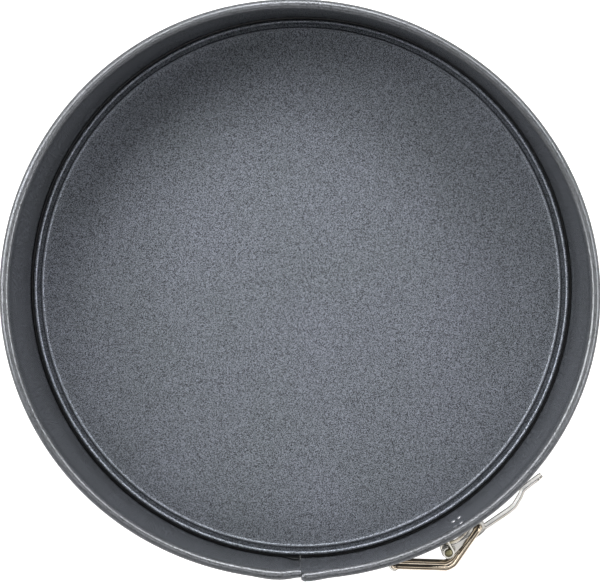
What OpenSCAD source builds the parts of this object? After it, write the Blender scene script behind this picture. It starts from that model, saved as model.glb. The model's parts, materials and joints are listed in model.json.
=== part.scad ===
// Springform cake pan: a split steel band with a rolled rim, a loose base plate that
// drops into its foot, and an over-centre lever latch that opens the band.
// Millimetres. +Z is up, and the origin is on the pan's axis in the plane it rests on.

/* [Pan] */
// Inside diameter of the band
pan_inner_d = 228.6; // [203:0.1:254]
// Overall height, from the table to the top of the rim
pan_h = 68; // [60:1:80]
// Thickness of the band's sheet
sheet_t = 0.5; // [0.4:0.1:0.8]
// Outer radius of the rolled bead along the rim
bead_r = 1.65; // [1.2:0.05:2.5]

/* [Foot of the band] */
// How far the foot groove bulges out of the wall
groove_depth = 1.0; // [0.5:0.1:1.5]
// Height of the top of the foot groove
groove_top = 7; // [5:0.5:9]
// Width of the lip that carries the base plate, inwards from the wall
lip_w = 2.0; // [1.5:0.1:3]

/* [Base plate] */
// Thickness of the base plate's sheet
base_t = 0.8; // [0.6:0.1:1]
// Radius of the raised middle, measured inwards from the wall
plateau_inset = 4.3; // [4:0.1:8]
// Height of the raised middle's top
plateau_z = 4.2; // [4:0.1:6]
// Height of the gutter around the raised middle
gutter_z = 2.7; // [1.8:0.1:2.8]
// Radius of the rolled edge
base_bead_r = 1.2; // [1:0.05:1.5]

/* [Band ends] */
// Direction of the seam, where the two ends of the band meet inside
seam_a = 270; // [268:1:272]
// Direction of the free end of the outer tongue
tongue_end_a = 293; // [285:1:295]
// Running gap between the tongue and the wall that it slides around
tongue_gap = 0.3; // [0.3:0.05:0.5]

/* [Latch] */
// Direction of the latch's pivot pin
pivot_a = 299.8; // [298:0.1:302]
// Radius of the pivot pin's axis from the pan's axis
pivot_dist = 121.6; // [121:0.1:124]
// Height of the middle of the latch
latch_z = 46; // [40:1:50]
// Radius of the pivot pin
pin_r = 1.5; // [1.2:0.1:1.8]
// Length of the pivot pin
pin_len = 22.6; // [20:0.1:24]
// Radius of the link's wire
wire_r = 1.2; // [1:0.1:1.4]
// Height of the link's two wires above and below the middle of the latch
wire_z = 8.3; // [8.2:0.1:9]
// Height of the lever's web
lever_h = 12; // [10:0.5:12]
// Thickness of the lever's sheet
lever_t = 1; // [0.8:0.1:1.2]

/* [Hidden] */
$fn = 96;

// Band
wall_ri = pan_inner_d / 2;
wall_ro = wall_ri + sheet_t;
groove_ri = wall_ri + groove_depth;
groove_ro = groove_ri + sheet_t;
groove_ramp = 1.2;
lip_ri = wall_ri - lip_w;
bead_z = pan_h - bead_r;
bead_c = wall_ri + bead_r;
// The band bends at these directions as it springs open. A slit is an angle, in degrees.
flex_right_a = 330;
flex_back_a = 93;
flex_left_a = 210;
flex_slit = 0.1;
band_end_slit = 0.3;

// Tongue, nested outside the wall
tongue_shift = sheet_t + tongue_gap;
tongue_head_gap = 0.9;
tongue_top = pan_h - 2 * bead_r - tongue_head_gap;
tongue_foot = 0.6;
jog_a = 2.0;

// Base plate
plateau_r = wall_ri - plateau_inset;
base_gap = 0.3;
base_r = wall_ri - base_gap;
base_bead_c = base_r - base_bead_r;
base_seat = 0.05;

// Latch. Places in plan are [along the band anticlockwise, towards the pan's axis],
// measured from the pivot pin.
// Where the link's straight leg crosses the lever, and where its turned-in ends meet the eye
lever_joint = [15.6, 2.35];
hook_joint = [-21.8, 5.8];
// Corners of the link's wires, which pass outside the pivot pin
wire_apex = [[-0.6, -5.45], [-3.6, -5.35]];
// Middle line of the lever's web, from behind the leg to the tip of the finger tab
web_path = [[13.7, 0.3], [26, 1.2], [29.4, 1.45], [32.3, 2.0], [36.3, 4.2], [38.6, 6.0],
            [41.7, 6.6], [48.0, 7.4]];
// Inner edge of an ear where it narrows between its two bores
ear_waist = [[9.9, 2.45], [4.8, 1.1]];
pivot_ear_r = 2.8;
joint_ear_r = 2.8;
corner_r = 2.2;
run_gap = 0.06;
bend_r = 3.0;
elbow_r = 1.5;
insert_len = 0.2;
run_r = wire_r - 0.02;

// Brackets and welds
bracket_t = 0.8;
bracket_gap = 0.05;
bracket_h = 22;
knuckle_h = 4;
knuckle_r = 2.4;
knuckle_gap = 0.02;
bracket_a = [300.7, 307.5];
hook_h = 13;
hook_eye_r = 2.15;
hook_bore_r = 1.35;
hook_plate_a = [280.5, 289.1];
weld_r = 1.15;
weld_proud = 0.15;
bracket_weld_a = [303.6, 305.0];
bracket_weld_pitch = 17.4;
hook_weld_a = [282.0, 285.2];
hook_weld_pitch = 7.6;

// Turns a section around the pan's axis between two directions.
module sweep(from_a, to_a) {
    rotate([0, 0, from_a])
        rotate_extrude(angle = to_a - from_a, $fn = 180)
            children();
}

// Moves to the pivot pin: +X along the band anticlockwise, +Y towards the pan's axis.
module at_latch() {
    rotate([0, 0, pivot_a])
        translate([pivot_dist, 0, latch_z])
            rotate([0, 0, 90])
                children();
}

// Section of the band: flat lip, foot groove, wall and hollow rolled bead.
module band_section() {
    polygon([[lip_ri, 0], [groove_ro, 0], [groove_ro, groove_top],
             [wall_ro, groove_top + groove_ramp], [wall_ro, bead_z], [wall_ri, bead_z],
             [wall_ri, groove_top + groove_ramp], [groove_ri, groove_top],
             [groove_ri, sheet_t], [lip_ri, sheet_t]]);
    translate([bead_c, bead_z])
        difference() {
            circle(bead_r);
            circle(bead_r - sheet_t);
        }
}

// Section of a wall-shaped layer with its foot groove, between two heights.
module layer_section(inner_r, thick, low, high) {
    groove_r = inner_r + groove_depth;
    polygon([[groove_r, low], [groove_r + thick, low], [groove_r + thick, groove_top],
             [inner_r + thick, groove_top + groove_ramp], [inner_r + thick, high],
             [inner_r, high], [inner_r, groove_top + groove_ramp], [groove_r, groove_top]]);
}

module band_segment(from_a, to_a) {
    color("#3c4046") sweep(from_a, to_a) band_section();
}

// Fixed front right part of the band, which carries the pivot bracket.
module band_front_right() {
    band_segment(seam_a + flex_slit, flex_right_a - flex_slit / 2);
}

module band_right_back() {
    band_segment(flex_right_a + flex_slit / 2, flex_back_a + 360 - flex_slit / 2);
}

module band_back_left() {
    band_segment(flex_back_a + flex_slit / 2, flex_left_a - flex_slit / 2);
}

// Front left part of the band, with the outer tongue that carries the hook bracket. A short
// jog joins the wall to the tongue.
module band_front_left() {
    jog_end_a = seam_a - 2 * band_end_slit;
    jog_start_a = jog_end_a - jog_a;
    inset = sheet_t / 2;
    band_segment(flex_left_a + flex_slit / 2, seam_a - band_end_slit);
    color("#3c4046") {
        sweep(jog_start_a - band_end_slit, tongue_end_a)
            layer_section(wall_ri + tongue_shift, sheet_t, tongue_foot, tongue_top);
        sweep(jog_start_a, jog_end_a)
            layer_section(wall_ri + inset, tongue_shift, tongue_foot + inset, tongue_top - inset);
    }
}

// Loose base: raised middle, gutter and rolled edge, pressed from one sheet.
module base_plate() {
    edge_z = sheet_t + base_seat + base_bead_r;
    step_w = 0.8;
    tuck = base_bead_r - base_t;
    color("#5b6067") {
        rotate_extrude($fn = 180)
            polygon([[0, plateau_z], [plateau_r, plateau_z], [plateau_r + step_w, gutter_z],
                     [base_bead_c - tuck, gutter_z], [base_bead_c - tuck, gutter_z - base_t],
                     [plateau_r + step_w - base_t, gutter_z - base_t],
                     [plateau_r - base_t, plateau_z - base_t], [0, plateau_z - base_t]]);
        rotate_extrude($fn = 180)
            translate([base_bead_c, edge_z])
                difference() {
                    circle(base_bead_r);
                    circle(tuck / 2);
                }
    }
}

// Plate welded to the wall, ending in two knuckles that are rolled around the pivot pin.
module pivot_bracket() {
    plate_ri = wall_ro + bracket_gap;
    // The arms run three quarters of the way through the plate.
    arm_len = pivot_dist - plate_ri - bracket_t / 4;
    color("#a9a69c") {
        translate([0, 0, latch_z - bracket_h / 2])
            sweep(bracket_a[0], bracket_a[1])
                translate([plate_ri, 0]) square([bracket_t, bracket_h]);
        for (low = [-bracket_h / 2, bracket_h / 2 - knuckle_h])
            at_latch() translate([0, 0, low])
                difference() {
                    union() {
                        cylinder(r = knuckle_r, h = knuckle_h);
                        translate([knuckle_r - bracket_t, 0, 0])
                            cube([bracket_t, arm_len, knuckle_h]);
                    }
                    translate([0, 0, -1]) cylinder(r = pin_r + knuckle_gap, h = knuckle_h + 2);
                }
    }
}

// Pivot pin, with bevelled ends.
module pivot_pin() {
    bevel = 0.4;
    color("#9a8f6a")
        at_latch()
            rotate_extrude()
                polygon([[0, -pin_len / 2], [pin_r - bevel, -pin_len / 2],
                         [pin_r, -pin_len / 2 + bevel], [pin_r, pin_len / 2 - bevel],
                         [pin_r - bevel, pin_len / 2], [0, pin_len / 2]]);
}

// Side of a bent strip: each place on its path, moved across the path by a distance.
function strip_side(path, across) =
    [for (i = [0 : len(path) - 1])
        let (way = path[min(i + 1, len(path) - 1)] - path[max(i - 1, 0)])
            path[i] + across * [-way[1], way[0]] / norm(way)];

// Strip of sheet along a bent path, in plan.
module bent_strip(path, thick) {
    left = strip_side(path, thick / 2);
    right = strip_side(path, -thick / 2);
    polygon(concat(right, [for (i = [len(path) - 1 : -1 : 0]) left[i]]));
}

// Plan of one lever ear, from the pivot pin to the web.
module ear_plan() {
    tuck = 0.2;
    circle(pivot_ear_r);
    translate(lever_joint) circle(joint_ear_r);
    polygon([[0, tuck - pivot_ear_r], [web_path[0][0], web_path[0][1] - lever_t / 2 + tuck],
             [lever_joint[0], lever_joint[1] - joint_ear_r + tuck],
             [lever_joint[0], lever_joint[1] + joint_ear_r - tuck],
             ear_waist[0], ear_waist[1], [0, pivot_ear_r - tuck]]);
}

// Side view of the web: it starts past the pivot, and its finger tab has round corners.
module web_side() {
    tip_x = web_path[len(web_path) - 1][0] + lever_t;
    half_h = lever_h / 2;
    corner = [for (a = [0 : 15 : 90]) corner_r * [cos(a) - 1, sin(a) - 1]];
    upper = [for (c = corner) [tip_x + c[0], half_h + c[1]]];
    lower = [for (i = [len(upper) - 1 : -1 : 0]) [upper[i][0], -upper[i][1]]];
    polygon(concat([[0, -half_h]], lower, upper, [[0, half_h]]));
}

// Lever: two ears with the pivot and link bores, and a web that ends in a finger tab.
module lever() {
    reach = 20;
    color("#c9cbcd")
        at_latch() {
            for (low = [-lever_h / 2, lever_h / 2 - lever_t])
                translate([0, 0, low])
                    linear_extrude(lever_t)
                        difference() {
                            ear_plan();
                            circle(pin_r + run_gap);
                            translate(lever_joint) circle(wire_r + run_gap);
                        }
            intersection() {
                translate([0, 0, -lever_h]) linear_extrude(2 * lever_h)
                    bent_strip(web_path, lever_t);
                rotate([90, 0, 0])
                    translate([0, 0, -reach]) linear_extrude(2 * reach) web_side();
            }
        }
}

// Straight stretch of the upper wire in plan. It is a hair thinner than the bends and runs
// a little way into the one at each end.
module wire_run(from_p, to_p) {
    way = (to_p - from_p) / norm(to_p - from_p);
    start = from_p - insert_len * way;
    translate([start[0], start[1], wire_z])
        rotate([0, 90, atan2(way[1], way[0])])
            cylinder(r = run_r, h = norm(to_p - from_p) + 2 * insert_len);
}

// Bend of the upper wire in plan: clockwise by turn, from a heading, starting at a place.
module plan_bend(start_p, heading, turn) {
    centre = start_p + bend_r * [cos(heading - 90), sin(heading - 90)];
    translate([centre[0], centre[1], wire_z])
        rotate([0, 0, heading + 90 - turn])
            rotate_extrude(angle = turn) translate([bend_r, 0]) circle(wire_r);
}

// Elbow that takes a vertical leg into the upper wire, which leaves on a heading.
module end_elbow(at_p, heading) {
    centre = at_p + elbow_r * [cos(heading), sin(heading)];
    translate([centre[0], centre[1], wire_z - elbow_r])
        rotate([90, 0, heading])
            rotate([0, 0, 90])
                rotate_extrude(angle = 90) translate([elbow_r, 0]) circle(wire_r);
}

// Upper half of the link: elbow, straight, two bends round the pivot, straight, elbow.
module link_upper_wire() {
    steps = [wire_apex[0] - lever_joint, wire_apex[1] - wire_apex[0],
             hook_joint - wire_apex[1]];
    ways = [for (s = steps) s / norm(s)];
    headings = [for (w = ways) (atan2(w[1], w[0]) + 360) % 360];
    turns = [for (i = [0, 1]) headings[i] - headings[i + 1]];
    cuts = [for (t = turns) bend_r * tan(t / 2)];
    bend_in = [for (i = [0, 1]) wire_apex[i] - cuts[i] * ways[i]];
    bend_out = [for (i = [0, 1]) wire_apex[i] + cuts[i] * ways[i + 1]];
    end_elbow(lever_joint, headings[0]);
    wire_run(lever_joint + elbow_r * ways[0], bend_in[0]);
    plan_bend(bend_in[0], headings[0], turns[0]);
    wire_run(bend_out[0], bend_in[1]);
    plan_bend(bend_in[1], headings[1], turns[1]);
    wire_run(bend_out[1], hook_joint - elbow_r * ways[2]);
    end_elbow(hook_joint, headings[2] + 180);
}

// Link: a wire bail bent around the pivot, with turned-in ends over the hook's eye.
module link_wire() {
    leg = wire_z - elbow_r + insert_len;
    color("#8d8377")
        at_latch() {
            for (side = [0, 1]) mirror([0, 0, side]) link_upper_wire();
            translate([lever_joint[0], lever_joint[1], -leg])
                cylinder(r = run_r, h = 2 * leg);
        }
}

// Hook bracket: a plate welded to the tongue, rolled into an eye for the link's ends.
module hook_bracket() {
    plate_ri = wall_ro + tongue_shift + bracket_gap;
    color("#a9a69c")
        difference() {
            union() {
                translate([0, 0, latch_z - hook_h / 2])
                    sweep(hook_plate_a[0], hook_plate_a[1])
                        translate([plate_ri, 0]) square([bracket_t, hook_h]);
                at_latch()
                    translate([hook_joint[0], hook_joint[1], -hook_h / 2])
                        cylinder(r = hook_eye_r, h = hook_h);
            }
            at_latch()
                translate([hook_joint[0], hook_joint[1], -hook_h / 2 - 1])
                    cylinder(r = hook_bore_r, h = hook_h + 2);
        }
}

// Weld nuggets through a sheet and the plate outside it, in two rows about the latch's middle.
module spot_welds(angles, pitch, inner_r, outer_r) {
    color("#b9bcc0")
        for (a = angles, row = [-pitch / 2, pitch / 2])
            rotate([0, 0, a])
                translate([inner_r, 0, latch_z + row])
                    rotate([0, 90, 0]) cylinder(r = weld_r, h = outer_r - inner_r, $fn = 32);
}

module bracket_spot_welds() {
    spot_welds(bracket_weld_a, bracket_weld_pitch, wall_ri - weld_proud,
               wall_ro + bracket_gap + bracket_t / 2);
}

module hook_spot_welds() {
    tongue_ri = wall_ri + tongue_shift;
    spot_welds(hook_weld_a, hook_weld_pitch, tongue_ri + sheet_t / 2,
               tongue_ri + sheet_t + bracket_gap + bracket_t + weld_proud);
}

band_front_right();
band_right_back();
band_back_left();
band_front_left();
base_plate();
pivot_bracket();
pivot_pin();
lever();
link_wire();
hook_bracket();
bracket_spot_welds();
hook_spot_welds();
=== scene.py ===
"""The looks of a springform pan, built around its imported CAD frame.

Lengths are in metres. Directions are in degrees anticlockwise from +X, seen from above.
The seam of the band is at 270 degrees, and the latch stands to its right.
"""

import json
import math

import bmesh
import bpy
from mathutils import Matrix, Vector


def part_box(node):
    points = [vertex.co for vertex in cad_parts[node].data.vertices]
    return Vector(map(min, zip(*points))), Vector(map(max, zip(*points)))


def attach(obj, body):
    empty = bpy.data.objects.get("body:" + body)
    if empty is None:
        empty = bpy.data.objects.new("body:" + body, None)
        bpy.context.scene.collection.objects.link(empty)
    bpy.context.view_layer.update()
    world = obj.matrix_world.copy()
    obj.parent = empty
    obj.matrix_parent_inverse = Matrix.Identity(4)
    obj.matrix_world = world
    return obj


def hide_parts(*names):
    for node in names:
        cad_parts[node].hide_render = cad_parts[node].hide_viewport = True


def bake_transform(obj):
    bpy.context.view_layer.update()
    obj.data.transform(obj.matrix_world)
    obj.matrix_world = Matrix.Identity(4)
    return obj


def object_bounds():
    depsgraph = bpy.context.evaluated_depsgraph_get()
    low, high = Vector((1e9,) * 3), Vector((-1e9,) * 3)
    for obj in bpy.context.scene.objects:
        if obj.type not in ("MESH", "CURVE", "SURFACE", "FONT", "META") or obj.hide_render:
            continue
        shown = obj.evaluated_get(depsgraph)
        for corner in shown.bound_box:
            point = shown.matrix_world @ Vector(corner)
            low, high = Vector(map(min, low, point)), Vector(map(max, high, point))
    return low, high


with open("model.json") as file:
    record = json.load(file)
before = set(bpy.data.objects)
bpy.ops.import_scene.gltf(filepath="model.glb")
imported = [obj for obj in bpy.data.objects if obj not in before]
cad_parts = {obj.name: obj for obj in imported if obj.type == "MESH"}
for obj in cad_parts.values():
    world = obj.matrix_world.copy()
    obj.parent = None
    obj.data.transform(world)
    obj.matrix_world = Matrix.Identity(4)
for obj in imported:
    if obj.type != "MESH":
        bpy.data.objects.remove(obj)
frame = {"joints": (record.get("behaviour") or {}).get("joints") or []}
cad_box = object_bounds()

MM = 0.001
JOINTS = {joint["name"]: joint for joint in frame["joints"]}

# Band. The rim's bead is wider than it is high.
RIM_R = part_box("band_right_back")[1].x
PAN_H = cad_box[1].z
SHEET = 0.5 * MM
BEAD_R = 1.75 * MM
BEAD_HALF_W = 2.0 * MM
CAD_BEAD_W = 3.3 * MM
BEAD_C = RIM_R - BEAD_HALF_W
BEAD_Z = PAN_H - BEAD_R
WALL_RI = RIM_R - CAD_BEAD_W
WALL_C = WALL_RI + SHEET / 2
GROOVE_DEPTH = 1.0 * MM
GROOVE_TOP = 7.0 * MM
LIP_RI = WALL_RI - 2.0 * MM
FOOT_FILLET = 0.9 * MM
SEAM_A = 270.0
TONGUE_END_A = 293.0
TONGUE_SHIFT = 0.8 * MM
TONGUE_TOP = PAN_H - 4.2 * MM
BAND_STEP = 1.0
BRACKET_GAP = 0.05 * MM
# Steps of the bead's curl, counted back from its end, that carry the darker outside coating, a
# painted shade that keeps the rim's outer edge dark.
OUTSIDE_STEPS = 13

# The rim is sprung a little out of round. The foot stays round.
OVAL = 2.1 * MM
OVAL_A = -5.0
LOBE = 0.65 * MM
LOBE_A = -16.0

# Base plate
BASE_R = -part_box("base_plate")[0].x
BASE_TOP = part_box("base_plate")[1].z
BASE_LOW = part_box("base_plate")[0].z
BASE_SHEET = 0.8 * MM
BASE_BEAD_R = 1.2 * MM
BASE_BEAD_HALF_W = 0.95 * MM
BASE_ANGLE_STEP = 1.0
PLATEAU_R = WALL_RI - 4.3 * MM
PLATEAU_RIDGE = 0.3 * MM
GUTTER_Z = 2.7 * MM

# Latch: places in plan are (along the band anticlockwise, towards the pan's axis), in mm,
# measured from the pivot pin.
PIVOT = Vector(JOINTS["lever_turn"]["pos_m"])
PIVOT_A = math.degrees(math.atan2(PIVOT.y, PIVOT.x))
LEVER_JOINT = (15.6, 2.35)
HOOK_JOINT = (-21.8, 5.8)
WIRE_APEX = ((-0.6, -5.45), (-3.6, -5.35))
WIRE_R = 1.2
WIRE_Z = 8.3
WEB_PATH = ((13.7, 0.3), (26, 1.2), (29.4, 1.45), (32.3, 2.0), (36.3, 4.2), (38.6, 6.0),
            (41.7, 6.6), (48.3, 7.45))
LEVER_H = 12.0
LEVER_T = 1.0
PIN_R = 1.5
KNUCKLE_R = 2.4
BRACKET_T = 0.8
BRACKET_H = 22.0
KNUCKLE_H = 4.0
HOOK_H = 13.0
HOOK_EYE_R = 2.15
PIN_HALF_LEN = 11.3
EAR_R = 2.8
EAR_WAIST = ((9.9, 2.45), (4.8, 1.1))
TAB_CORNER_R = 2.2
RUN_GAP = 0.06
BRACKET_WELD_A = (303.6, 305.0)
BRACKET_WELD_UP = 8.7
HOOK_WELD_A = (282.0, 285.2)
HOOK_WELD_UP = 3.8


# ---------------------------------------------------------------- small helpers

def clamp(x, low=0.0, high=1.0):
    return max(low, min(high, x))


def smooth_step(low, high, x):
    t = clamp((x - low) / (high - low))
    return t * t * (3 - 2 * t)


def hump(centre, half_width, x):
    """1 at the centre, falling smoothly to 0 at half_width away."""
    return 1 - smooth_step(0, half_width, abs(x - centre))


def turned(angle):
    """Unit vector in plan at an angle in degrees."""
    return Vector((math.cos(math.radians(angle)), math.sin(math.radians(angle))))


def arc(centre, radius, start, end, steps):
    """Points along an arc, both ends included; a negative turn runs clockwise."""
    return [Vector(centre) + radius * turned(start + (end - start) * i / steps)
            for i in range(steps + 1)]


def rounded_path(corners, radii, steps=5):
    """A path through corners, each one rounded by its radius. The ends stay sharp."""
    points = [Vector(corners[0])]
    for before, corner, after, radius in zip(corners, corners[1:], corners[2:], radii):
        corner = Vector(corner)
        into = (corner - Vector(before)).normalized()
        out = (Vector(after) - corner).normalized()
        turn = into.angle(out)
        if turn < 1e-3:
            points.append(corner)
            continue
        cut = radius * math.tan(turn / 2)
        first = corner - cut * into
        side = (out - into * into.dot(out)).normalized()
        for i in range(steps + 1):
            angle = turn * i / steps
            points.append(first + side * radius * (1 - math.cos(angle))
                          + into * radius * math.sin(angle))
    points.append(Vector(corners[-1]))
    return points


def offset_line(points, distance):
    """A line in plan or section, moved sideways to its left by a distance."""
    moved = []
    last = len(points) - 1
    for i, p in enumerate(points):
        way = points[min(i + 1, last)] - points[max(i - 1, 0)]
        way.normalize()
        moved.append(p + distance * Vector((-way.y, way.x)))
    return moved


def sheet_loop(line, thickness, end_steps=3):
    """Closed outline of a sheet that follows a line, with rounded edges."""
    half = thickness / 2
    left = offset_line(line, half)
    right = offset_line(line, -half)

    def edge(point, way):
        base = math.degrees(math.atan2(way.y, way.x))
        return [point + half * turned(base + 90 - 180 * (i + 0.5) / end_steps)
                for i in range(end_steps)]

    end_way = (line[-1] - line[-2]).normalized()
    start_way = (line[0] - line[1]).normalized()
    return left + edge(line[-1], end_way) + right[::-1] + edge(line[0], start_way)


def new_object(name, bm, sharp_angle=40):
    """Makes a smooth-shaded object from a bmesh, with edges past the angle kept sharp."""
    bmesh.ops.recalc_face_normals(bm, faces=bm.faces)
    mesh = bpy.data.meshes.new(name)
    limit = math.radians(sharp_angle)
    for face in bm.faces:
        face.smooth = True
    for e in bm.edges:
        e.smooth = not (e.is_manifold and e.calc_face_angle(0) > limit)
    bm.to_mesh(mesh)
    bm.free()
    obj = bpy.data.objects.new(name, mesh)
    bpy.context.scene.collection.objects.link(obj)
    return obj


def add_rings(bm, rings, slots=None):
    """Skins a list of closed rings of points, with an n-gon over each end.

    The slots give the material index of each strip of faces round the ring."""
    made = [[bm.verts.new(p) for p in ring] for ring in rings]
    for a, b in zip(made, made[1:]):
        for i in range(len(a)):
            j = (i + 1) % len(a)
            face = bm.faces.new((a[i], a[j], b[j], b[i]))
            face.material_index = slots[i] if slots else 0
    bm.faces.new(made[0][::-1])
    bm.faces.new(made[-1])


def around(section, angle):
    """Places a section's (radius, height) points at a direction from the pan's axis."""
    c, s = math.cos(math.radians(angle)), math.sin(math.radians(angle))
    return [Vector((p.x * c, p.x * s, p.y)) for p in section]


def at_latch(obj):
    """Moves an object modelled in mm round the pivot pin to its place on the pan."""
    a = math.radians(PIVOT_A)
    along = Vector((-math.sin(a), math.cos(a), 0))
    inward = Vector((-math.cos(a), -math.sin(a), 0))
    place = Matrix((along, inward, (0, 0, 1))).transposed().to_4x4()
    obj.data.transform(Matrix.Translation(PIVOT) @ place @ Matrix.Scale(MM, 4))
    return obj


def bevel(obj, width, segments=2, angle=50):
    """Rounds an object's sharp edges and applies the change to its mesh."""
    modifier = obj.modifiers.new("edges", "BEVEL")
    modifier.width = width
    modifier.segments = segments
    modifier.limit_method = "ANGLE"
    modifier.angle_limit = math.radians(angle)
    modifier.harden_normals = False
    graph = bpy.context.evaluated_depsgraph_get()
    mesh = bpy.data.meshes.new_from_object(obj.evaluated_get(graph))
    obj.modifiers.clear()
    old = obj.data
    obj.data = mesh
    bpy.data.meshes.remove(old)
    for polygon in obj.data.polygons:
        polygon.use_smooth = True
    return obj


def join(objects, name):
    """Joins objects into one mesh object."""
    bm = bmesh.new()
    for obj in objects:
        bm.from_mesh(obj.data)
        bpy.data.objects.remove(obj)
    mesh = bpy.data.meshes.new(name)
    bm.to_mesh(mesh)
    bm.free()
    obj = bpy.data.objects.new(name, mesh)
    bpy.context.scene.collection.objects.link(obj)
    return obj


def plate(name, outlines, low, high, edge=0.12):
    """Flat plate in plan with holes, in mm: the first outline is its edge, the rest holes."""
    curve = bpy.data.curves.new(name, "CURVE")
    curve.dimensions = "2D"
    curve.fill_mode = "BOTH"
    curve.extrude = (high - low) / 2 - edge
    curve.bevel_depth = edge
    curve.bevel_resolution = 2
    curve.offset = -edge
    for outline in outlines:
        spline = curve.splines.new("POLY")
        spline.points.add(len(outline) - 1)
        for point, p in zip(spline.points, outline):
            point.co = (p[0], p[1], 0, 1)
        spline.use_cyclic_u = True
    source = bpy.data.objects.new(name, curve)
    bpy.context.scene.collection.objects.link(source)
    graph = bpy.context.evaluated_depsgraph_get()
    mesh = bpy.data.meshes.new_from_object(source.evaluated_get(graph))
    bpy.data.objects.remove(source)
    bpy.data.curves.remove(curve)
    mesh.transform(Matrix.Translation((0, 0, (low + high) / 2)))
    bm = bmesh.new()
    bm.from_mesh(mesh)
    bpy.data.meshes.remove(mesh)
    bmesh.ops.remove_doubles(bm, verts=bm.verts, dist=1e-4)
    return new_object(name, bm, 30)


def tube(name, path, radius, sides=20):
    """Round wire along a path in 3D, with softly rounded ends."""
    rings = []
    last = len(path) - 1
    across = None
    for i, p in enumerate(path):
        way = (path[min(i + 1, last)] - path[max(i - 1, 0)]).normalized()
        if across is None:
            across = way.orthogonal().normalized()
        across = (across - way * across.dot(way)).normalized()
        up = way.cross(across)
        sizes = [1.0]
        shifts = [0.0]
        if i in (0, last):
            sizes, shifts = [0.55, 0.85, 1.0], [0.0, 0.12, 0.4]
            if i == last:
                sizes, shifts = sizes[::-1], [-s for s in shifts[::-1]]
        for size, shift in zip(sizes, shifts):
            middle = p + way * shift * radius
            rings.append([middle + radius * size * (across * math.cos(t) + up * math.sin(t))
                          for t in (2 * math.pi * k / sides for k in range(sides))])
    bm = bmesh.new()
    add_rings(bm, rings)
    return new_object(name, bm, 50)


# ---------------------------------------------------------------- materials

def material(name, colour, metallic, roughness):
    """A new Principled material and its node tree, with constants on the shader itself."""
    mat = bpy.data.materials.new(name)
    mat.use_nodes = True
    nodes, links = mat.node_tree.nodes, mat.node_tree.links
    shader = nodes["Principled BSDF"]
    shader.inputs["Base Color"].default_value = (*colour, 1)
    shader.inputs["Metallic"].default_value = metallic
    shader.inputs["Roughness"].default_value = roughness
    return mat, nodes, links, shader


def noise(nodes, links, scale, detail=2.0, rough=0.5, stretch=None):
    """Noise in the object's own coordinates; scale is in features per metre."""
    place = nodes.new("ShaderNodeTexCoord")
    texture = nodes.new("ShaderNodeTexNoise")
    texture.inputs["Scale"].default_value = scale
    texture.inputs["Detail"].default_value = detail
    texture.inputs["Roughness"].default_value = rough
    source = place.outputs["Object"]
    if stretch:
        mapping = nodes.new("ShaderNodeMapping")
        mapping.inputs["Scale"].default_value = stretch
        links.new(source, mapping.inputs["Vector"])
        source = mapping.outputs["Vector"]
    links.new(source, texture.inputs["Vector"])
    return texture.outputs["Fac"]


def ramp(nodes, links, value, stops):
    """Colour ramp over a value; stops are (position, colour)."""
    node = nodes.new("ShaderNodeValToRGB")
    elements = node.color_ramp.elements
    while len(elements) < len(stops):
        elements.new(0.5)
    for element, (position, colour) in zip(elements, stops):
        element.position = position
        element.color = (*colour, 1)
    links.new(value, node.inputs["Fac"])
    return node.outputs["Color"]


def multiply(nodes, links, first, second):
    """Product of two colours."""
    node = nodes.new("ShaderNodeMix")
    node.data_type = "RGBA"
    node.blend_type = "MULTIPLY"
    node.inputs["Factor"].default_value = 1.0
    links.new(first, node.inputs[6])
    links.new(second, node.inputs[7])
    return node.outputs[2]


def spread(nodes, links, value, low, high, out_low, out_high):
    """Maps a value from one range to another."""
    node = nodes.new("ShaderNodeMapRange")
    for socket, number in zip(("From Min", "From Max", "To Min", "To Max"),
                              (low, high, out_low, out_high)):
        node.inputs[socket].default_value = number
    links.new(value, node.inputs["Value"])
    return node.outputs["Result"]


def bump(nodes, links, shader, height, strength, depth):
    """Raises the shader's surface by a height texture; depth is in metres."""
    node = nodes.new("ShaderNodeBump")
    node.inputs["Strength"].default_value = strength
    node.inputs["Distance"].default_value = depth
    links.new(height, node.inputs["Height"])
    links.new(node.outputs["Normal"], shader.inputs["Normal"])


def grey(level, tint):
    """A grey level with a tint."""
    return tuple(level * t for t in tint)


def coating(name, level, contrast, grain, roughness, metallic, tint, shade=None):
    """Graphite non-stick coating: fine metallic speck over a slightly mottled dark ground.

    The shade is stops of (height in mm, grey factor) that paint shade and light as darker and
    lighter bands."""
    mat, nodes, links, shader = material(name, grey(level, tint), metallic, roughness)
    speck = noise(nodes, links, grain, 1.5, 0.6)
    mottle = noise(nodes, links, 800, 2.0, 0.5)
    cloud = noise(nodes, links, 22, 2.0, 0.5)
    low, high = level * (1 - contrast), level * (1 + contrast)
    ground = ramp(nodes, links, speck, [(0.38, grey(low, tint)), (0.5, grey(level, tint)),
                                        (0.61, grey(high, tint))])
    soft = ramp(nodes, links, mottle, [(0.3, (0.92, 0.93, 0.91)), (0.7, (1.06, 1.06, 1.08))])
    wide = ramp(nodes, links, cloud, [(0.3, (0.95, 0.96, 0.94)), (0.7, (1.04, 1.03, 1.05))])
    colour = multiply(nodes, links, ground, soft)
    colour = multiply(nodes, links, colour, wide)
    # Painted shade and light in bands by height.
    if shade:
        colour = multiply(nodes, links, colour, by_height(nodes, links, shade))
    links.new(colour, shader.inputs["Base Color"])
    gloss = spread(nodes, links, speck, 0.3, 0.7, roughness + 0.07, roughness - 0.07)
    links.new(gloss, shader.inputs["Roughness"])
    bump(nodes, links, shader, speck, 0.22, 0.06 * MM)
    return mat


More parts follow.
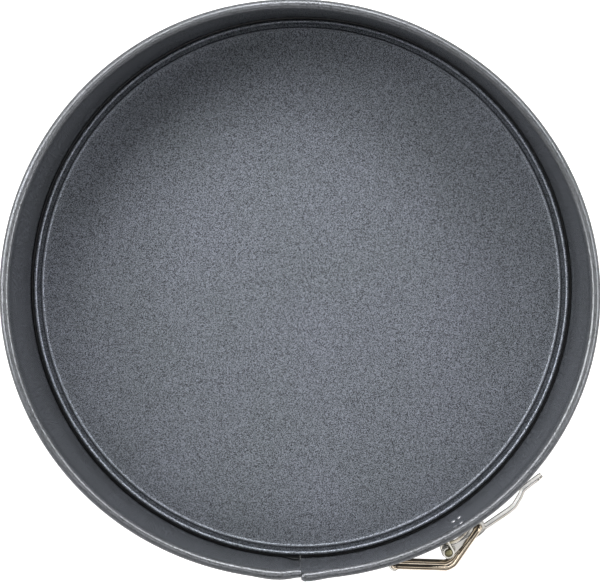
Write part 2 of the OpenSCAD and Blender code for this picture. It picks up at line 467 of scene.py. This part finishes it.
def by_height(nodes, links, stops):
    """Grey factor that follows the height above the table; stops are (height in mm, grey)."""
    place = nodes.new("ShaderNodeTexCoord")
    split = nodes.new("ShaderNodeSeparateXYZ")
    links.new(place.outputs["Object"], split.inputs["Vector"])
    part = spread(nodes, links, split.outputs["Z"], 0, PAN_H, 0, 1)
    return ramp(nodes, links, part, [(z * MM / PAN_H, (g, g, g)) for z, g in stops])


def plated(name, colour, roughness, stain, shade=None):
    """Bright plated steel with fine drawing marks and a faint uneven tarnish."""
    drawn = (1, 1, 12)
    mat, nodes, links, shader = material(name, colour, 1.0, roughness)
    marks = noise(nodes, links, 260, 3.0, 0.6, drawn)
    tarnish = noise(nodes, links, 130, 3.0, 0.55)
    tint = ramp(nodes, links, tarnish, [(0.35, colour), (0.72, stain)])
    # Darker colour and a darker edge reflection in bands by height.
    if shade:
        height_darkening = by_height(nodes, links, shade)
        tint = multiply(nodes, links, tint, height_darkening)
        links.new(height_darkening, shader.inputs["Specular Tint"])
    links.new(tint, shader.inputs["Base Color"])
    gloss = spread(nodes, links, marks, 0.3, 0.7, roughness * 0.8, roughness * 1.35)
    links.new(gloss, shader.inputs["Roughness"])
    bump(nodes, links, shader, marks, 0.12, 0.03 * MM)
    return mat


def make_materials():
    wall_tint = (0.965, 1.0, 1.075)
    base_tint = (0.925, 1.0, 1.15)
    return {
        # Painted shade by height on the band: darkest in the foot groove, a darker lower wall,
        # a painted shadow under the bead, and the bead lighter than the wall.
        "band": coating("band_coating", 0.18, 0.65, 2300, 0.28, 0.6, wall_tint,
                        [(9, 0.12), (12, 0.42), (29, 0.46), (33, 0.62), (55, 0.64),
                         (58, 0.3), (63, 0.3), (65.8, 0.85)]),
        # Darker coating on the band's outside and the outer side of the bead: painted shade on
        # the rim's outer edge.
        "outside": coating("outside_painted_shade", 0.06, 0.5, 2300, 0.42, 0.45, wall_tint),
        # Painted light by height on the base: a painted highlight on the gutter floor and on
        # top of the rolled edge, and painted shade in the crease and under the rolled edge, set
        # against the raised middle.
        "base": coating("base_coating", 0.3, 0.83, 2900, 0.46, 0.7, base_tint,
                        [(2.4, 0.45), (2.58, 1.0), (2.76, 1.0), (2.84, 0.85), (3.0, 0.85),
                         (3.1, 0.533)]),
        "bracket": plated("bracket_plate", (0.8, 0.78, 0.74), 0.22, (0.6, 0.57, 0.5)),
        "pin": plated("pin_brass", (0.36, 0.33, 0.2), 0.42, (0.22, 0.2, 0.12)),
        # The lever is darker and less reflective in narrow bands at its bottom and top edges.
        "lever": plated("lever_plate", (0.93, 0.91, 0.89), 0.16, (0.68, 0.64, 0.56),
                        [(40.1, 0.5), (40.5, 1.0), (51.5, 1.0), (51.9, 0.5)]),
        "link": plated("link_plate", (0.6, 0.52, 0.42), 0.14, (0.42, 0.34, 0.25)),
        "weld": plated("weld_steel", (0.7, 0.71, 0.73), 0.3, (0.5, 0.5, 0.52)),
    }


# ---------------------------------------------------------------- band

def swell(angle, z):
    """How far the sprung wall stands outside a true cylinder at a direction and height."""
    rim = (OVAL * math.cos(math.radians(2 * (angle - OVAL_A)))
           + LOBE * math.cos(math.radians(3 * (angle - LOBE_A))))
    even = clamp((z - GROOVE_TOP) / (BEAD_Z - GROOVE_TOP))
    held = smooth_step(57 * MM, BEAD_Z, z)
    a = angle % 360
    near_latch = smooth_step(248, 276, a) * (1 - smooth_step(311, 338, a))
    return rim * (even + (held - even) * near_latch)


def band_line(bead=1.0):
    """Centre line of the band's section: lip, foot groove, wall and rolled bead."""
    groove_c = WALL_C + GROOVE_DEPTH
    foot_z = SHEET / 2
    line = [Vector((LIP_RI, foot_z)), Vector((LIP_RI + 1.0 * MM, foot_z))]
    line += arc((groove_c - FOOT_FILLET, foot_z + FOOT_FILLET), FOOT_FILLET, -90, 0, 5)
    line += groove_to_wall(groove_c, WALL_C)
    curl = [Vector((BEAD_C + (BEAD_HALF_W - SHEET / 2) * bead * p.x,
                    BEAD_Z + (BEAD_R - SHEET / 2) * bead * p.y))
            for p in arc((0, 0), 1, 195, -115, 24)]
    start = curl[0]
    neck_z = BEAD_Z - 2.6 * MM
    rise_from = line[-1].y
    for i in range(1, 12):
        line.append(Vector((WALL_C, rise_from + (neck_z - rise_from) * i / 11)))
    for i in range(1, 5):
        t = i / 5
        line.append(Vector((WALL_C + (start.x - WALL_C) * t * t * (3 - 2 * t),
                            neck_z + (start.y - neck_z) * t)))
    return line + curl


def groove_to_wall(groove_r, wall_r):
    """Upper part of the foot groove, eased back into the wall."""
    line = [Vector((groove_r, GROOVE_TOP - 1.6 * MM))]
    for i in range(9):
        t = i / 8
        line.append(Vector((groove_r + (wall_r - groove_r) * t * t * (3 - 2 * t),
                            GROOVE_TOP - 1.0 * MM + 2.4 * MM * t)))
    return line


def tongue_line():
    """Centre line of the tongue's section: the groove and wall, with no lip and no bead."""
    inner = WALL_C + TONGUE_SHIFT
    line = [Vector((inner + GROOVE_DEPTH, 1.0 * MM))]
    line += groove_to_wall(inner + GROOVE_DEPTH, inner)
    rise_from = line[-1].y
    return line + [Vector((inner, rise_from + (TONGUE_TOP - rise_from) * i / 12))
                   for i in range(1, 13)]


def sprung(line, angle, nudge=None):
    """The section at a direction: swollen out of round, and nudged at the band's ends."""
    moved = []
    for p in line:
        shift = swell(angle, p.y) + (nudge(angle, p.y) if nudge else 0)
        moved.append(Vector((p.x + shift, p.y)))
    return moved


def right_end_nudge(angle, z):
    """The inner end of the band flares out near the top, and carries faint press ripples."""
    past = angle - SEAM_A
    flare = 0.75 * MM * (1 - smooth_step(1.5, 7, past)) * smooth_step(52 * MM, BEAD_Z, z)
    ripple = 0.3 * MM * (1 - smooth_step(2, 8, past)) * smooth_step(18 * MM, 30 * MM, z)
    ripple *= 1 - smooth_step(58 * MM, 63 * MM, z)
    return flare + ripple * math.sin(2 * math.pi * z / (7 * MM))


def left_end_nudge(angle, z):
    """The outer end of the band steps out to pass behind the inner end."""
    step = TONGUE_SHIFT * smooth_step(265.5, 269.2, angle)
    tuck = 1 - smooth_step(61 * MM, 65.5 * MM, z)
    nest = 0.3 * MM * hump(264.5, 4.5, angle) - 0.6 * MM * smooth_step(266, 269.8, angle)
    return step * tuck + nest * smooth_step(60 * MM, BEAD_Z, z)


def angles_between(start, end, step=BAND_STEP):
    """Evenly spaced directions, both ends included."""
    count = max(1, round((end - start) / step))
    return [start + (end - start) * i / count for i in range(count + 1)]


def lean(angle, z):
    """Angle that both ends of the band are cut off square by, more at the rim."""
    return (0.75 * z / BEAD_Z - 0.15) * hump(SEAM_A, 8, angle)


def band_piece(name, angles, line_at, nudge=None):
    """A length of the band, skinned through its section at each direction."""
    rings = []
    for a in angles:
        loop = sheet_loop(sprung(line_at(a), a, nudge), SHEET)
        rings.append([around([p], a + lean(a, p.y))[0] for p in loop])
    bm = bmesh.new()
    inside = len(line_at(angles[0])) - OUTSIDE_STEPS
    slots = [0 if i < inside else 1 for i in range(len(rings[0]))]
    add_rings(bm, rings, slots)
    return new_object(name, bm, 55)


def make_band(mats):
    """The one strip of the band, in three lengths."""
    slit = 0.02
    wall_end = SEAM_A - 0.03

    def right_line(angle):
        past = angle - SEAM_A
        end = 1 - 0.4 * (1 - clamp(past / 0.9)) ** 2
        return band_line(end * (1 + 0.06 * (1 - smooth_step(0, 5, past))))

    def left_line(angle):
        return band_line(1 + 0.08 * hump(265, 5, angle) - 0.12 * smooth_step(268, 270, angle))

    front_a = [SEAM_A + a for a in (0.0, 0.15, 0.35, 0.6, 0.9, 1.4, 2)]
    front_a += angles_between(273, 389.99)
    front = band_piece("band_front", front_a, right_line, right_end_nudge)
    back = band_piece("band_back", angles_between(30, 150), lambda a: band_line())
    rear_a = angles_between(150, 262) + angles_between(262.5, wall_end, 0.5)
    left = band_piece("band_left_wall", rear_a, left_line, left_end_nudge)
    tongue = band_piece("band_left_tongue", angles_between(wall_end + slit, TONGUE_END_A),
                        lambda a: tongue_line())
    left = join([left, tongue], "band_left")
    for piece, a, b, start, end, nodes in (
            (front, "root", "band_right", 309, 389, ["band_front_right"]),
            (back, "band_right", "band_back", 32, 148, ["band_right_back"]),
            (left, "band_back", "band_left", 152, 266, ["band_back_left", "band_front_left"])):
        piece.data.materials.append(mats["band"])
        piece.data.materials.append(mats["outside"])
        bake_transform(piece)
        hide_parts(*nodes)


# ---------------------------------------------------------------- base plate

def base_line():
    """Centre line of the base's section: raised middle, gutter and rolled edge."""
    bead_c = Vector((BASE_R - BASE_BEAD_HALF_W, BASE_LOW + BASE_BEAD_R))
    half = BASE_SHEET / 2
    top_z = BASE_TOP - half - PLATEAU_RIDGE
    low_z = GUTTER_Z - half
    line = [Vector((r * MM, top_z)) for r in (6, 30, 60, 85, 100, 107)]
    for i in range(6):
        t = i / 5
        line.append(Vector((PLATEAU_R - (0.9 - 0.75 * t) * MM,
                            top_z + PLATEAU_RIDGE * t * t * (2 - t))))
    fall = 0.4 * MM
    ridge_z = top_z + PLATEAU_RIDGE
    line += arc((PLATEAU_R, ridge_z - fall), fall, 72, -5, 6)
    line += arc((PLATEAU_R + 0.75 * MM, low_z + 0.3 * MM), 0.3 * MM, 185, 270, 5)
    line.append(Vector((bead_c.x - 1.15 * MM, low_z - 0.05 * MM)))
    line.append(Vector((bead_c.x - 0.9 * MM, low_z - 0.28 * MM)))
    line += [bead_c + Vector((p.x * (BASE_BEAD_HALF_W - half), p.y * (BASE_BEAD_R - half)))
             for p in arc((0, 0), 1, 158, -170, 24)]
    return line


def make_base(mats):
    """One pressed sheet, spun from its section; the middle closes on the axis."""
    line = base_line()
    loop_top = offset_line(line, BASE_SHEET / 2)
    loop_low = offset_line(line, -BASE_SHEET / 2)
    tip = line[-1]
    section = loop_top + [tip] + loop_low[::-1]
    bm = bmesh.new()
    angles = angles_between(0, 360 - BASE_ANGLE_STEP, BASE_ANGLE_STEP)
    made = [[bm.verts.new(p) for p in around(section, a)] for a in angles]
    count = len(made)
    for k in range(count):
        a, b = made[k], made[(k + 1) % count]
        for i in range(len(section) - 1):
            bm.faces.new((a[i], b[i], b[i + 1], a[i + 1]))
    for index, z in ((0, section[0].y), (len(section) - 1, section[-1].y)):
        middle = bm.verts.new((0, 0, z))
        for k in range(count):
            bm.faces.new((middle, made[k][index], made[(k + 1) % count][index]))
    obj = new_object("base_plate_pressed", bm, 60)
    obj.data.materials.append(mats["base"])
    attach(obj, "base")
    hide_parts("base_plate")


# ---------------------------------------------------------------- latch

def ring_points(centre, radius, steps=28):
    """Points round a full circle."""
    return arc(centre, radius, 0, 360 - 360 / steps, steps - 1)


def make_lever(mats):
    """Pressed lever: a web with a curled finger tab, and two ears for the pin and the wire."""
    path = rounded_path(WEB_PATH, (8, 5, 2.5, 6, 2.2, 4), 4)
    dense = []
    for a, b in zip(path, path[1:]):
        count = max(1, math.ceil((b - a).length / 1.2))
        dense += [a.lerp(b, i / count) for i in range(count)]
    dense.append(path[-1])
    tip_x = dense[-1].x
    corner = TAB_CORNER_R
    rings = []
    for i, p in enumerate(dense):
        way = (dense[min(i + 1, len(dense) - 1)] - dense[max(i - 1, 0)]).normalized()
        side = Vector((-way.y, way.x)) * LEVER_T / 2
        from_tip = clamp(tip_x - p.x, 0.12, corner)
        drop = corner - math.sqrt(max(0, corner ** 2 - (corner - from_tip) ** 2))
        half = LEVER_H / 2 - drop
        soft = 0.18
        outline = []
        for sx, sz in ((1, 1), (-1, 1), (-1, -1), (1, -1)):
            base = p + side * sx
            inner = p + side * sx * (1 - soft * 2)
            pair = [(inner, half), (base, half - soft)]
            if sx * sz < 0:
                pair.reverse()
            outline += [Vector((q.x, q.y, z * sz)) for q, z in pair]
        rings.append(outline)
    bm = bmesh.new()
    add_rings(bm, rings)
    web = new_object("web", bm, 35)
    outline = arc((0, 0), EAR_R, 55, 270, 18) + arc(LEVER_JOINT, EAR_R, -80, 110, 14)
    outline += rounded_path([outline[-1], *EAR_WAIST, outline[0]], (8, 4), 5)[1:-1]
    ears = []
    for side in (-1, 1):
        low, high = sorted((side * (LEVER_H / 2 - LEVER_T), side * LEVER_H / 2))
        ears.append(plate("ear", [outline, ring_points((0, 0), PIN_R + RUN_GAP),
                                  ring_points(LEVER_JOINT, WIRE_R + 0.07)], low, high, 0.15))
    lever = at_latch(join([web, *ears], "lever_pressed"))
    finish_latch_piece(lever, "lever", mats["lever"], "lever_plate", "lever")


def make_link(mats):
    """One wire bail: over, round the pivot, and turned in over the hook's eye."""
    stub_z = HOOK_H / 2 + 0.3
    plan = [LEVER_JOINT, *WIRE_APEX, HOOK_JOINT]
    corners = [(*HOOK_JOINT, -stub_z)]
    corners += [(*p, -WIRE_Z) for p in reversed(plan)]
    corners += [(*p, WIRE_Z) for p in plan]
    corners += [(*HOOK_JOINT, stub_z)]
    radii = (1.45, 3.4, 3.4, 1.45, 1.45, 3.4, 3.4, 1.45)
    link = at_latch(tube("link_bail", rounded_path(corners, radii, 8), WIRE_R))
    finish_latch_piece(link, "link", mats["link"], "link_plate", "link_wire")


def make_pin(mats):
    """Pivot pin with softly upset ends."""
    half = PIN_HALF_LEN
    section = [Vector((0.0, -half)), Vector((1.0, -half + 0.02)), Vector((1.3, -half + 0.14)),
               Vector((PIN_R - 0.02, -half + 0.45)), Vector((PIN_R - 0.02, half - 0.45)),
               Vector((1.3, half - 0.14)), Vector((1.0, half - 0.02)), Vector((0.0, half))]
    rings = [[Vector((p.x * turned(a).x, p.x * turned(a).y, p.y))
              for a in range(0, 360, 12)] for p in section[1:-1]]
    bm = bmesh.new()
    add_rings(bm, rings)
    pin = at_latch(new_object("pin_turned", bm, 50))
    finish_latch_piece(pin, "root", mats["pin"], "pin_brass", "pivot_pin")


def wall_strip(name, start_a, end_a, inner_r, thick, low, high):
    """Plate that hugs the wall between two directions and heights, in metres."""
    section = [Vector((inner_r, low)), Vector((inner_r + thick, low)),
               Vector((inner_r + thick, high)), Vector((inner_r, high))]
    bm = bmesh.new()
    add_rings(bm, [around(section, a) for a in angles_between(start_a, end_a, 0.5)])
    return bevel(new_object(name, bm, 30), 0.15 * MM)


def make_pivot_bracket(mats):
    """Plate on the wall with two knuckles rolled round the pin."""
    r = KNUCKLE_R - BRACKET_T / 2
    wall_y = (PIVOT.to_2d().length - WALL_RI) / MM
    roll = [Vector((r, wall_y - 0.9))] + [Vector((r, 0.6))] + arc((0, 0), r, 0, -285, 26)
    pieces = []
    for low in (-BRACKET_H / 2, BRACKET_H / 2 - KNUCKLE_H):
        outline = sheet_loop(roll, BRACKET_T)
        pieces.append(at_latch(plate("knuckle", [outline], low, low + KNUCKLE_H)))
    plate_ri = WALL_RI + SHEET + BRACKET_GAP
    mid = PIVOT.z
    pieces.append(wall_strip("bracket_plate", 300.75, 307.5, plate_ri, BRACKET_T * MM,
                             mid - BRACKET_H / 2 * MM, mid + BRACKET_H / 2 * MM))
    bracket = join(pieces, "pivot_bracket_pressed")
    finish_latch_piece(bracket, "root", mats["bracket"], "bracket_plate", "pivot_bracket")


def make_hook_bracket(mats):
    """Plate on the tongue, rolled into an eye."""
    r = HOOK_EYE_R - BRACKET_T / 2
    outline = sheet_loop(arc((0, 0), r, 80, -215, 26), BRACKET_T)
    outline = [p + Vector(HOOK_JOINT) for p in outline]
    eye = at_latch(plate("eye", [outline], -HOOK_H / 2, HOOK_H / 2))
    plate_ri = WALL_RI + SHEET + TONGUE_SHIFT + BRACKET_GAP
    leaf = wall_strip("hook_plate", 280.5, 289.0, plate_ri, BRACKET_T * MM,
                      PIVOT.z - HOOK_H / 2 * MM, PIVOT.z + HOOK_H / 2 * MM)
    hook = join([eye, leaf], "hook_bracket_rolled")
    finish_latch_piece(hook, "band_left", mats["bracket"], "bracket_plate", "hook_bracket")


def weld_domes(name, angles, heights, surface_r, outwards):
    """Low domes that spot welds leave on a wall."""
    radius, rise = 1.15 * MM, 0.5 * MM
    bm = bmesh.new()
    for a in angles:
        for z in heights:
            out = Vector((*turned(a), 0))
            along = Vector((*turned(a + 90), 0))
            sign = 1 if outwards else -1
            rings = []
            for size, height in ((1, -0.1 * MM), (1, 0.0), (0.8, rise * 0.6), (0.5, rise * 0.9),
                                 (0.2, rise)):
                centre = out * (surface_r + sign * height) + Vector((0, 0, z))
                rings.append([centre + radius * size * (along * math.cos(t)
                                                        + Vector((0, 0, 1)) * math.sin(t))
                              for t in (2 * math.pi * k / 20 for k in range(20))])
            add_rings(bm, rings)
    return new_object(name, bm, 60)


def make_welds(mats):
    """Four domes inside the wall and four on the hook bracket."""
    mid = PIVOT.z
    rows = (mid - BRACKET_WELD_UP * MM, mid + BRACKET_WELD_UP * MM)
    inner = weld_domes("bracket_weld_domes", BRACKET_WELD_A, rows, WALL_RI, False)
    finish_latch_piece(inner, "root", mats["weld"], "weld_steel", "bracket_spot_welds")
    outer_r = WALL_RI + SHEET + TONGUE_SHIFT + BRACKET_GAP + BRACKET_T * MM
    rows = (mid - HOOK_WELD_UP * MM, mid + HOOK_WELD_UP * MM)
    outer = weld_domes("hook_weld_domes", HOOK_WELD_A, rows, outer_r, True)
    finish_latch_piece(outer, "band_left", mats["weld"], "weld_steel", "hook_spot_welds")


def finish_latch_piece(obj, body, mat, slot, *nodes):
    """Gives a piece its material and its body, and hides the CAD nodes it stands for. The slot
    is not used.
    """
    obj.data.materials.clear()
    obj.data.materials.append(mat)
    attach(obj, body)
    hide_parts(*nodes)


# ---------------------------------------------------------------- stage, lights, camera

def make_stage():
    """Plain white floor, a hair below the pan."""
    bpy.ops.mesh.primitive_plane_add(size=6, location=(0, 0, -0.0002))
    floor = bpy.context.object
    floor.name = "floor"
    mat, nodes, links, shader = material("floor_white", (0.85, 0.85, 0.85), 0.0, 0.9)
    shader.inputs["Emission Color"].default_value = (1, 1, 1, 1)
    shader.inputs["Emission Strength"].default_value = 0.7
    floor.data.materials.append(mat)


def area_light(name, place, target, width, depth, power):
    """Rectangular soft light that points at a target; power is in watts."""
    light = bpy.data.lights.new(name, "AREA")
    light.shape = "RECTANGLE"
    light.size = width
    light.size_y = depth
    light.energy = power
    obj = bpy.data.objects.new(name, light)
    bpy.context.scene.collection.objects.link(obj)
    obj.location = place
    obj.rotation_euler = (Vector(target) - Vector(place)).to_track_quat("-Z", "Y").to_euler()


def make_lights():
    """Dim sky, a soft light on most sides, and a small one over the latch."""
    world = bpy.data.worlds.new("studio")
    bpy.context.scene.world = world
    world.use_nodes = True
    background = world.node_tree.nodes["Background"]
    nodes, links = world.node_tree.nodes, world.node_tree.links
    place = nodes.new("ShaderNodeTexCoord")
    split = nodes.new("ShaderNodeSeparateXYZ")
    links.new(place.outputs["Generated"], split.inputs["Vector"])
    sky = ramp(nodes, links, split.outputs["Z"],
               [(0.0, (0.5, 0.5, 0.5)), (0.35, (0.5, 0.5, 0.5)), (0.6, (0.08, 0.08, 0.08))])
    links.new(sky, background.inputs["Color"])
    area_light("back", (0.1, 1.2, 1.3), (0, 0, 0.02), 1.0, 0.7, 16.5)
    area_light("back_right", (0.95, 0.8, 1.3), (0, 0, 0.02), 0.6, 0.5, 6.8)
    area_light("back_left", (-0.75, 0.65, 1.45), (0, 0, 0.02), 1.1, 0.9, 13)
    area_light("left", (-1.3, 0.1, 1.2), (0, 0, 0.02), 1.0, 0.7, 14.5)
    area_light("latch_card", (0.15, -0.36, 1.8), (0.06, -0.1, 0.05), 0.9, 0.7, 2.6)
    area_light("right", (1.3, -0.1, 1.2), (0, 0, 0.02), 1.0, 0.7, 11.6)


def make_camera():
    """Almost straight down, from a little to the upper right of the pan's axis."""
    height = BEAD_Z + 0.936
    camera_data = bpy.data.cameras.new("camera")
    camera_data.sensor_width = 36
    camera_data.lens = 141.2
    camera = bpy.data.objects.new("camera", camera_data)
    bpy.context.scene.collection.objects.link(camera)
    camera.location = (0.0165, 0.0215, height)
    target = Vector((-0.0004, -0.0014, 0.0))
    forward = (target - camera.location).normalized()
    right = Vector((0, 1, 0)).cross(-forward).normalized()
    up = (-forward).cross(right)
    camera.rotation_euler = Matrix((right, up, -forward)).transposed().to_euler()
    bpy.context.scene.camera = camera


make_camera()
mats = make_materials()
make_band(mats)
make_base(mats)
make_lever(mats)
make_link(mats)
make_pin(mats)
make_pivot_bracket(mats)
make_hook_bracket(mats)
make_welds(mats)
make_stage()
make_lights()
bpy.context.scene.view_settings.view_transform = "Standard"
